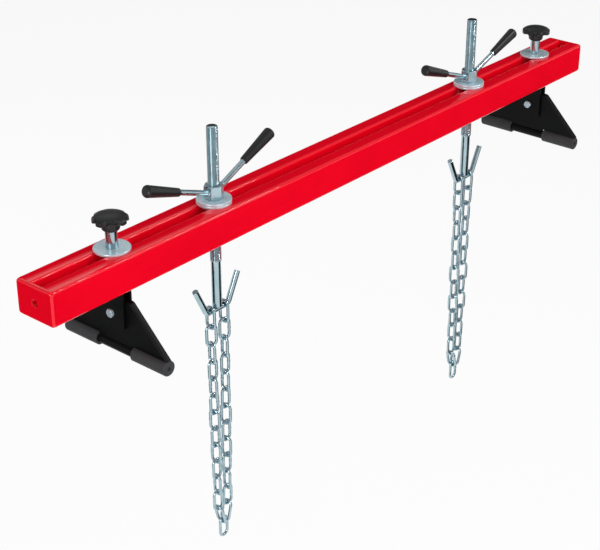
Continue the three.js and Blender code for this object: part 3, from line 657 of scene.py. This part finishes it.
# Foot brackets. Each is a strip of steel bent to an inverted U that hangs under the beam
# and holds the foot plate between its cheeks; textured black powder coat.
# Textured black powder coat: a deep black that gives back little, with a fine grit of about a
# millimetre that breaks what it mirrors.
black_coat, tree, shader, place = new_material(
    "textured_black_powder_coat", base_color=linear("#060707"), roughness=0.42, specular_ior_level=0.13)
grain(tree, shader, place, 1100.0, 2.0, 0.35, 0.4 * MM)


def prism(name, loop, start, end, place):
    """A plain solid between two copies of a loop drawn in X and Y, used for cutting and joining."""
    work = bmesh.new()
    rows = [[work.verts.new(place @ Vector((x, y, z))) for x, y in loop] for z in (start, end)]
    work.faces.new(rows[0])
    work.faces.new(rows[1])
    for i in range(len(loop)):
        j = (i + 1) % len(loop)
        work.faces.new((rows[0][i], rows[0][j], rows[1][j], rows[1][i]))
    bmesh.ops.recalc_face_normals(work, faces=work.faces)
    mesh = bpy.data.meshes.new(name)
    work.to_mesh(mesh)
    work.free()
    solid = bpy.data.objects.new(name, mesh)
    scene.collection.objects.link(solid)
    return solid


def combine(base, steps):
    """Cuts, joins or trims a solid with others in turn, and removes the others."""
    for operation, other in steps:
        baked(base, "BOOLEAN", operation=operation, solver="EXACT", object=other)
        bpy.data.objects.remove(other)
    return base


def soften(piece, width, material, degrees=35):
    """Rounds a solid's hard edges and gives it its material."""
    baked(piece, "BEVEL", width=width, segments=3, limit_method="ANGLE", angle_limit=math.radians(degrees))
    return finished(piece, material, degrees)


def circle_loop(radius, height=0.0):
    """Points of a circle round a centre at a height."""
    angles = [i * math.tau / 48 for i in range(48)]
    return [(radius * math.cos(angle), radius * math.sin(angle) + height) for angle in angles]


def bent_over(half, top, bottom, radius, steps):
    """One face of a strip bent to an inverted U, from its left lower end to its right one."""
    turns = [step / steps * math.pi / 2 for step in range(steps + 1)]
    arc = [(half - radius + radius * math.cos(turn), top - radius + radius * math.sin(turn))
           for turn in turns]
    return [(-half, bottom)] + [(-x, z) for x, z in arc] + arc[::-1] + [(half, bottom)]


# Prisms drawn in X and Y become ones along X, drawn in Y and Z, or along Y, drawn in X and Z.
yz_plane = Matrix(((0, 0, 1, 0), (1, 0, 0, 0), (0, 1, 0, 0), (0, 0, 0, 1)))
xz_plane = Matrix(((1, 0, 0, 0), (0, 0, 1, 0), (0, 1, 0, 0), (0, 0, 0, 1)))
BRACKET_STEEL, BRACKET_HALF = 4 * MM, 10 * MM
BEND_OUTER, BEND_INNER, CHEEK_CORNER, THROUGH = 4.6 * MM, 1 * MM, 6 * MM, 20 * MM
for side in ("left", "right"):
    node = f"{side}_foot_bracket"
    low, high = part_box(node)
    centre_x = (low[0] + high[0]) / 2
    top, bottom, half_length = high[2], low[2], (high[1] - low[1]) / 2
    section = bent_over(BRACKET_HALF, top, bottom, BEND_OUTER, 8)
    section += bent_over(BRACKET_HALF - BRACKET_STEEL, top - BRACKET_STEEL, bottom, BEND_INNER, 3)[::-1]
    shift = Matrix.Translation((centre_x, 0, 0))
    bracket = prism(f"{side}_bent_bracket", section, -half_length, half_length, shift @ xz_plane)
    corners = [(y, z + (top + bottom + THROUGH) / 2) for y, z in
               rounded_loop(2 * half_length, top - bottom + THROUGH, CHEEK_CORNER, 8)]
    trim = prism("trim", corners, -THROUGH, THROUGH, shift @ yz_plane)
    pivot = prism("pivot", circle_loop(BOLT_BORE, pivot_height), -THROUGH, THROUGH, shift @ yz_plane)
    stud = prism("stud", circle_loop(STUD_BORE), top - 10 * MM, top + 5 * MM, shift)
    combine(bracket, [("INTERSECT", trim), ("DIFFERENCE", pivot), ("DIFFERENCE", stud)])
    soften(bracket, 0.4 * MM, black_coat)
    seat(bracket, f"{side}_foot_carriage", "black_paint", node)


# Foot plates. Each is pressed from sheet steel: a trapezoid with flanges folded back
# along its slopes and top, a boss for the pivot, and a straight edge welded to the bar.
SHEET, PLATE_HALF, FOLD, PLATE_CORNER, BOSS_RADIUS = 3 * MM, 5 * MM, 2.6 * MM, 8 * MM, 9 * MM
PLATE_TOP, PLATE_TOP_HALF, PLATE_END, PLATE_END_HALF = 104 * MM, 38 * MM, 26.3 * MM, 116 * MM


def plate_loop(inset, drop):
    """The foot plate's outline in Y and Z, drawn in by an inset and carried down by a drop."""
    run, rise = PLATE_END_HALF - PLATE_TOP_HALF, PLATE_TOP - PLATE_END
    slope_inset = inset * math.hypot(run, rise) / rise
    top = PLATE_TOP - inset
    top_half = PLATE_TOP_HALF - slope_inset + inset * run / rise
    end_half = PLATE_END_HALF - slope_inset + drop * run / rise
    angle = math.atan2(rise, run)
    radius = max(PLATE_CORNER - inset, 1 * MM)
    centre_y = top_half - radius * math.tan(angle / 2)
    loop = [(-end_half, PLATE_END - drop), (end_half, PLATE_END - drop)]
    for sign in (1, -1):
        arc = []
        for step in range(9):
            turn = math.pi / 2 - angle + step / 8 * angle
            arc.append((sign * (centre_y + radius * math.cos(turn)), top - radius + radius * math.sin(turn)))
        loop += arc if sign > 0 else arc[::-1]
    return loop


for side in ("left", "right"):
    node = f"{side}_foot_plate"
    low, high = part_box(node)
    centre_x = (low[0] + high[0]) / 2
    shift = Matrix.Translation((centre_x, 0, 0))
    loops = []
    for aside, back in rounding(5):
        inset, x = FOLD * aside, centre_x - PLATE_HALF + FOLD * back
        loops.append([(x, y, z) for y, z in plate_loop(inset, -inset * 0.2)])
    loops.append([(centre_x + PLATE_HALF, y, z) for y, z in plate_loop(0, 0)])
    points, faces = [], []
    bridge(points, faces, loops, close=False)
    count = len(loops[0])
    faces.append(tuple(range(count)))
    faces.append(tuple(range(len(points) - count, len(points))))
    plate = object_from(f"{side}_pressed_plate", points, faces, black_coat)
    pocket = prism("pocket", plate_loop(SHEET, 5 * MM), -PLATE_HALF + SHEET, THROUGH, shift @ yz_plane)
    joined = PLATE_END + 2 * MM
    foot = [(-PLATE_TOP_HALF, low[2]), (PLATE_TOP_HALF, low[2]),
            (PLATE_TOP_HALF, joined), (-PLATE_TOP_HALF, joined)]
    foot = prism("foot", foot, -PLATE_HALF, -PLATE_HALF + SHEET, shift @ yz_plane)
    boss = circle_loop(BOSS_RADIUS, pivot_height)
    boss = prism("boss", boss, -PLATE_HALF + 1 * MM, PLATE_HALF, shift @ yz_plane)
    bore = prism("bore", circle_loop(BOLT_BORE, pivot_height), -THROUGH, THROUGH, shift @ yz_plane)
    combine(plate, [("DIFFERENCE", pocket), ("UNION", foot), ("UNION", boss), ("DIFFERENCE", bore)])
    soften(plate, 0.5 * MM, black_coat, 40)
    seat(plate, f"{side}_foot", "black_paint", node)


# Cross bars and rubber sleeves. A round bar under each foot plate carries a moulded
# rubber cap at each end, which grips the fender's edge.
# Moulded rubber: charcoal grey beside the black steel, quite matt, with a dusty unevenness.
matt_rubber, tree, shader, place = new_material(
    "moulded_black_rubber", base_color=linear("#2b2c2e"), roughness=0.7, ior=1.52)
grain(tree, shader, place, 1300.0, 3.0, 0.25, 0.3 * MM)
clouded(tree, shader, place, 45.0, 4.0, "#232426", "#343537")

BAR_RADIUS, CAP_RADIUS, CAP_BORE, CAP_EDGE, CAP_FLOOR, TRIM = (v * MM for v in (9, 13, 9.3, 1.8, 4, 0.6))
for side in ("left", "right"):
    low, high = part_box(f"{side}_cross_bar")
    centre = ((low[0] + high[0]) / 2, 0, (low[2] + high[2]) / 2)
    bar = turned(f"{side}_round_cross_bar", [
        (0, low[1]), (BAR_RADIUS - TRIM, low[1]), (BAR_RADIUS, low[1] + TRIM), (BAR_RADIUS, high[1] - TRIM),
        (BAR_RADIUS - TRIM, high[1]), (0, high[1])], centre, black_coat, 48, axis=Vector((0, 1, 0)))
    seat(bar, f"{side}_foot", "black_paint", f"{side}_cross_bar")
    for end, direction in (("front", -1), ("back", 1)):
        node = f"{side}_{end}_rubber_sleeve"
        low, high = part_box(node)
        near, far = sorted((abs(low[1]), abs(high[1])))
        profile = [(0, far - CAP_FLOOR), (CAP_BORE, far - CAP_FLOOR), (CAP_BORE, near),
                   (CAP_RADIUS - TRIM, near), (CAP_RADIUS, near + TRIM)]
        profile += [(CAP_RADIUS - CAP_EDGE * aside, far - CAP_EDGE * back) for back, aside in rounding(5)]
        profile += [
            (4.2 * MM, far), (3.5 * MM, far - 0.5 * MM), (3.1 * MM, far - 2.5 * MM), (0, far - 2.5 * MM)]
        sleeve = turned(f"{side}_{end}_rubber_cap", profile, centre, matt_rubber, 64, 40,
                        axis=Vector((0, direction, 0)))
        seat(sleeve, f"{side}_foot", "black_rubber", node)


# Handles. Two zinc-plated rods are welded to each handle nut, rising to both sides, and
# each carries a pushed-on black grip that grows thicker towards its rounded end.
ROD_RADIUS, ROD_START, ROD_HEIGHT, INNER_REACH, REACH = (v * MM for v in (5, 15.6, 7, 158, 164))
GRIP_LENGTH, GRIP_BORE, GRIP_START_RADIUS, GRIP_END_RADIUS, GRIP_ROUNDING = (
    v * MM for v in (77, 65, 7.2, 10.5, 5))
for side in ("left", "right"):
    low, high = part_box(f"{side}_handle_nut")
    root = ((low[0] + high[0]) / 2, 0, low[2] + ROD_HEIGHT)
    for end in ("inner", "outer"):
        sign = 1 if (side == "left") == (end == "inner") else -1
        slope, reach = (25, INNER_REACH) if (side, end) == ("left", "inner") else (20, REACH)
        along = Vector((sign * math.cos(math.radians(slope)), 0, math.sin(math.radians(slope))))
        start, begin = ROD_START, reach - GRIP_LENGTH
        rod_end = begin + GRIP_BORE - 0.3 * MM
        rod = turned(f"{side}_{end}_round_rod", [
            (0, start), (6.8 * MM, start), (6.3 * MM, start + 1.2 * MM), (ROD_RADIUS, start + 2.8 * MM),
            (ROD_RADIUS, rod_end - 0.6 * MM), (ROD_RADIUS - 0.6 * MM, rod_end), (0, rod_end)],
            root, bright_zinc, 40, 60, axis=along)
        seat(rod, f"{side}_nut", "zinc_plate", f"{side}_{end}_handle_rod")
        bore = ROD_RADIUS + 0.3 * MM
        profile = [(0, begin + GRIP_BORE), (bore, begin + GRIP_BORE), (bore, begin),
                   (GRIP_START_RADIUS - 0.6 * MM, begin), (GRIP_START_RADIUS, begin + 0.6 * MM)]
        for row in range(1, 12):
            share = row / 11
            profile.append((GRIP_START_RADIUS + (GRIP_END_RADIUS - GRIP_START_RADIUS) * share,
                            begin + (GRIP_LENGTH - GRIP_ROUNDING) * share))
        profile += [(GRIP_END_RADIUS - GRIP_ROUNDING * aside, reach - GRIP_ROUNDING * back)
                    for back, aside in rounding(8)[1:]]
        profile.append((0, reach))
        grip = turned(f"{side}_{end}_tapered_grip", profile, root, satin_plastic, 48, 50, axis=along)
        seat(grip, f"{side}_nut", "black_plastic", f"{side}_{end}_grip")


# Double hooks. One round bar is bent up on both sides and welded under the spindle; its
# ends are cut square.
for side in ("left", "right"):
    node = f"{side}_double_hook"
    low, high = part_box(node)
    centre_x = (low[0] + high[0]) / 2
    bar_radius, bar_height, bend = 5.5 * MM, -15.5 * MM, 9 * MM
    bend_half, tip_half, tip_height = 26.5 * MM, 52.5 * MM, 37.5 * MM
    angle = math.atan2(tip_height - bar_height, tip_half - bend_half)
    bend_x = bend_half - bend * math.tan(angle / 2)
    arc = []
    for step in range(13):
        turn = step / 12 * angle
        arc.append((bend_x + bend * math.sin(turn), bar_height + bend * (1 - math.cos(turn))))
    right_half = arc + [(tip_half, tip_height)]
    line = [(-x, z) for x, z in reversed(right_half)] + right_half
    points, faces, loops = [], [], []
    for index, (x, z) in enumerate(line):
        before, after = line[max(index - 1, 0)], line[min(index + 1, len(line) - 1)]
        heading = Vector((after[0] - before[0], after[1] - before[1])).normalized()
        across = Vector((-heading.y, heading.x))
        ends = {0: 1, len(line) - 1: -1}
        rings = [(bar_radius, 0.0)]
        if index in ends:
            rings = [(0.0, 0.0), (bar_radius - 0.6 * MM, 0.0), (bar_radius, 0.6 * MM * ends[index])]
            rings = rings if index == 0 else rings[::-1]
        for radius, shift in rings:
            loops.append([
                (centre_x + x + heading.x * shift + across.x * radius * math.cos(t),
                 radius * math.sin(t),
                 z + heading.y * shift + across.y * radius * math.cos(t))
                for t in (i * math.tau / 32 for i in range(32))
            ])
    bridge(points, faces, loops, close=False)
    hook = object_from(f"{side}_bent_hook", points, faces, bright_zinc, 40)
    seat(hook, f"{side}_lift", "zinc_plate", node)


# Chains. Long links of round wire, butt welded on one side and zinc plated. Both strands
# hang on the hook and meet in one link at the bottom.
# Zinc-plated chain: bright where a link catches the light and slate grey where it turns away.
chain_zinc = zinc("zinc_plated_chain", "#8aa3ae", "#cadfe6", 0.12, 0.24, 120.0)


def chain_tree():
    """A node group: an oval link of round wire, swollen at its weld, hung on every point."""
    sizes = [("Wire", 5.7 * MM), ("Inner Length", 35 * MM), ("Inner Width", 12.4 * MM), ("Weld Swell", 0.14),
             ("Weld Length", 3 * MM)]
    group, given = new_group("welded_chain", sizes, on_mesh=True)
    position = add_node(group, "GeometryNodeInputPosition")
    place = add_node(group, "ShaderNodeSeparateXYZ", {0: position}).outputs
    value = {label: given[label] for label, size in sizes} | {"line x": place["X"], "line y": place["Y"]}
    work_out(group, value, (
        ("width", "ADD", "Inner Width", "Wire"),
        ("length", "ADD", "Inner Length", "Wire"),
        ("end radius", "MULTIPLY", "width", 0.4999),
        ("half weld", "MULTIPLY", "Weld Length", 0.5),
        ("from weld", "DIVIDE", "line y", "half weld"),
        ("squared", "MULTIPLY", "from weld", "from weld"),
        ("fall", "MULTIPLY", "squared", -1.0),
        ("bead", "EXPONENT", "fall"),
        ("welded side", "GREATER_THAN", "line x", 0.0),
        ("one bead", "MULTIPLY", "bead", "welded side"),
        ("swell", "MULTIPLY", "one bead", "Weld Swell"),
        ("thickening", "ADD", "swell", 1.0),
        ("plain radius", "DIVIDE", "Wire", 2.0),
        ("radius", "MULTIPLY", "thickening", "plain radius"),
    ))
    box_line = add_node(group, "GeometryNodeCurvePrimitiveQuadrilateral", {
        "Width": value["width"], "Height": value["length"]})
    oval = add_node(group, "GeometryNodeFilletCurve", {
        "Curve": box_line, "Radius": value["end radius"], "Count": 14}, mode="POLY")
    line = add_node(group, "GeometryNodeResampleCurve", {"Curve": oval, "Count": 72})
    wire_line = add_node(group, "GeometryNodeSetCurveRadius", {"Curve": line, "Radius": value["radius"]})
    section = add_node(group, "GeometryNodeCurvePrimitiveCircle", {"Resolution": 14, "Radius": 1.0})
    link = add_node(group, "GeometryNodeCurveToMesh", {"Curve": wire_line, "Profile Curve": section})
    if "Scale" in link.inputs:
        group.links.new(value["radius"].outputs[0], link.inputs["Scale"])
    upright = add_node(group, "GeometryNodeTransform", {"Geometry": link, "Rotation": (math.pi / 2, 0, 0)})
    hang = add_node(group, "GeometryNodeInputNamedAttribute", {"Name": "hang"}, data_type="FLOAT_VECTOR")
    slack = add_node(group, "GeometryNodeInputNamedAttribute", {"Name": "slack"}, data_type="FLOAT_VECTOR")
    hung = add_node(group, "GeometryNodeInstanceOnPoints", {
        "Points": given["Geometry"], "Instance": upright, "Rotation": hang.outputs["Attribute"],
        "Scale": slack.outputs["Attribute"]})
    real = add_node(group, "GeometryNodeRealizeInstances", {"Geometry": hung})
    dressed = add_node(group, "GeometryNodeSetMaterial", {"Geometry": real, "Material": given["Finish"]})
    add_node(group, "NodeGroupOutput", {"Geometry": dressed})
    return group


def hung_links(name, links):
    """A stretch of chain: one link for each middle, rotation and length beyond the plain one."""
    points = bpy.data.meshes.new(name)
    points.from_pydata([middle for middle, turn, spare in links], [], [])
    hang = points.attributes.new("hang", "FLOAT_VECTOR", "POINT")
    slack = points.attributes.new("slack", "FLOAT_VECTOR", "POINT")
    for index, (middle, turn, spare) in enumerate(links):
        hang.data[index].vector = turn.to_euler()
        slack.data[index].vector = (1, 1, 1 + spare / (PITCH + 2 * WIRE))
    chain = grown(name, welded_chain, {
        "Wire": WIRE, "Inner Length": PITCH, "Inner Width": INNER_WIDTH, "Weld Swell": 0.14,
        "Weld Length": 3 * MM, "Finish": chain_zinc}, points)
    return finished(chain, chain_zinc, 60)


WIRE, PITCH, INNER_WIDTH, GAP, FIRST_SLACK = 5.7 * MM, 35 * MM, 12.4 * MM, 0.3 * MM, 0.55 * MM
LINKS, SPREAD_LINKS, TOP_SPREAD, LOWER_SPREAD = 13, 12, 17 * MM, 12.3 * MM
TWISTS = [0, 20, 16, 0, 8, 0, -14, 0, -8, 0, 12, 6, 0]
lean_share = (WIRE + GAP) / 2 / PITCH
last_spread = ((WIRE + GAP) / 2 + LOWER_SPREAD * lean_share) / (1 + lean_share)
strand = [Vector((TOP_SPREAD, 0, -10 * MM))]
for number in range(1, LINKS + 1):
    spread = TOP_SPREAD + (LOWER_SPREAD - TOP_SPREAD) * min(number / SPREAD_LINKS, 1)
    if number == LINKS:
        spread = last_spread
    strand.append(Vector((spread, 0, strand[-1].z - math.sqrt(PITCH ** 2 - (spread - strand[-1].x) ** 2))))

welded_chain = chain_tree()
for side in ("left", "right"):
    low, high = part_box(f"{side}_chain_bottom_link")
    centre = Vector(((low[0] + high[0]) / 2, 0, (low[2] + high[2]) / 2))
    bottom_link = hung_links(f"{side}_bottom_link", [(centre, Matrix.Identity(3), 0.0)])
    seat(bottom_link, f"{side}_chain_end", "zinc_plate", f"{side}_chain_bottom_link")
    for stretch, first, last in (("upper", 1, 4), ("middle", 5, 8), ("lower", 9, LINKS)):
        links = []
        for direction in (1, -1):
            for number in range(first, last + 1):
                upper, lower = strand[number - 1], strand[number]
                spare = FIRST_SLACK if number == 1 else 0.0
                lean = math.atan2(upper.x - lower.x, upper.z - lower.z)
                twist = math.radians(TWISTS[number - 1])
                turn = (Matrix.Rotation(direction * lean, 3, "Y")
                        @ Matrix.Rotation(number % 2 * math.pi / 2 - twist, 3, "Z"))
                middle = (upper + lower) / 2 + Vector((0, 0, spare / 2))
                links.append((Vector((centre.x + direction * middle.x, 0, middle.z)), turn, spare))
        chain = hung_links(f"{side}_{stretch}_links", links)
        seat(chain, f"{side}_chain_{stretch}", "zinc_plate",
             f"{side}_chain_{stretch}_inner", f"{side}_chain_{stretch}_outer")
